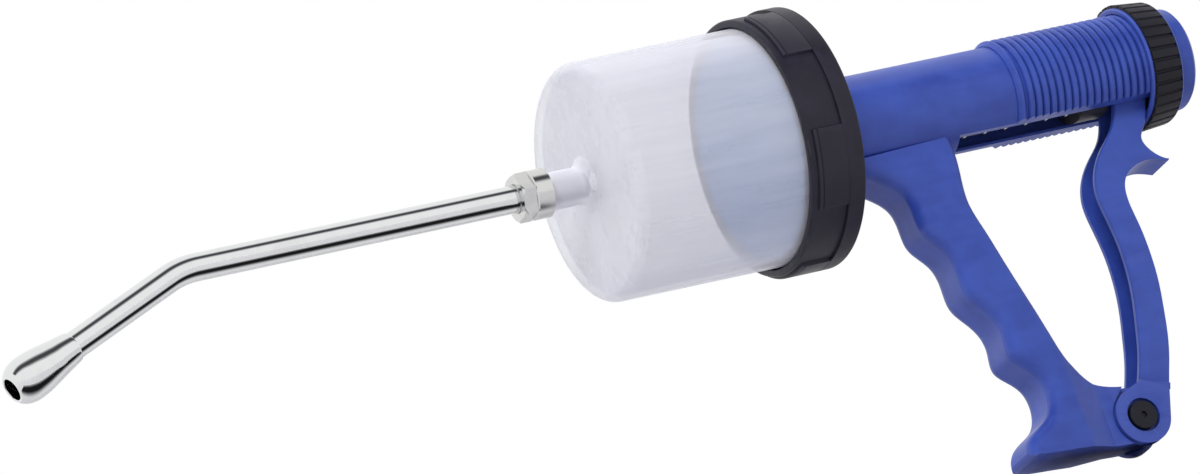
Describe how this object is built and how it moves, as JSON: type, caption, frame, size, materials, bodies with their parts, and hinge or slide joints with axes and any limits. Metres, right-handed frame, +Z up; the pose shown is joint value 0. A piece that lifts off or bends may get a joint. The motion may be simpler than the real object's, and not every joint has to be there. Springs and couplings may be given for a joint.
{
  "type": "livestock drencher",
  "caption": "Pistol-grip drench gun: squeezing the lever drives a piston along a translucent barrel and pushes a dose of liquid out through a bent metal nozzle with a rounded tip.",
  "frame": {"origin": "on the barrel axis, in the flat rear face of the tube and its end plug", "axes": "+X points back along the barrel axis, away from the nozzle; +Z is up, and the hand grip hangs to -Z; +Y is across the gun"},
  "size_m": [0.4587, 0.0932, 0.1843],
  "materials": {
    "nozzle_chrome": "polished",
    "insert_brass": "turned",
    "rod_steel": "turned",
    "spring_steel": "bright drawn wire",
    "seal_rubber": "satin",
    "barrel_clear": "moulded, milky and translucent",
    "ring_plastic": "satin moulded",
    "grip_plastic": "satin moulded",
    "cap_plastic": "satin moulded",
    "body_plastic": "semi-gloss moulded",
    "piston_plastic": "moulded",
    "inner_plastic": "moulded"
  },
  "bodies": {
    "gun": {"barrel": "barrel_clear", "barrel_gasket": "seal_rubber", "barrel_ring": "ring_plastic", "gun_body": "body_plastic", "guide_bush": "inner_plastic", "union_insert": "rod_steel", "nozzle_nut": "nozzle_chrome", "nozzle_seal": "seal_rubber", "return_spring": "spring_steel", "pivot_sleeve": "insert_brass", "end_plug": "body_plastic"},
    "nozzle": {"nozzle_tube": "nozzle_chrome", "nozzle_tip": "nozzle_chrome", "nozzle_ferrule": "nozzle_chrome"},
    "squeeze_lever": {"lever": "body_plastic", "pivot_pin": "rod_steel", "pivot_retainer": "rod_steel", "pivot_cap_left": "cap_plastic", "pivot_cap_right": "cap_plastic"},
    "plunger": {"piston": "piston_plastic", "piston_seal_front": "seal_rubber", "piston_seal_rear": "seal_rubber", "piston_washer": "rod_steel", "piston_nut": "rod_steel", "piston_rod": "rod_steel", "rod_locknut": "rod_steel", "crosshead": "inner_plastic", "cross_pin": "rod_steel"},
    "dose_dial": {"dose_knob": "body_plastic", "dose_grip_ring": "grip_plastic"}
  },
  "joints": [
    {"name": "lever_swing", "type": "hinge", "parent": "gun", "child": "squeeze_lever", "pos_m": [-0.0661, 0, -0.1273], "axis": [0, -1, 0], "range_deg": [0, 26.2], "stiffness_Nm_per_rad": 12.5, "springref_deg": -3.5},
    {"name": "plunger_slide", "type": "slide", "parent": "gun", "child": "plunger", "axis": [-1, 0, 0], "range_m": [0, 0.06], "deforming": ["return_spring"]},
    {"name": "dose_turn", "type": "hinge", "parent": "gun", "child": "dose_dial", "pos_m": [-0.014, 0, 0], "axis": [1, 0, 0], "continuous": true},
    {"name": "nozzle_turn", "type": "hinge", "parent": "gun", "child": "nozzle", "pos_m": [-0.2565, 0, 0], "axis": [1, 0, 0], "continuous": true}
  ],
  "couplings": [
    {"joint": "plunger_slide", "follows": "lever_swing", "m_per_rad": 0.13097}
  ]
}
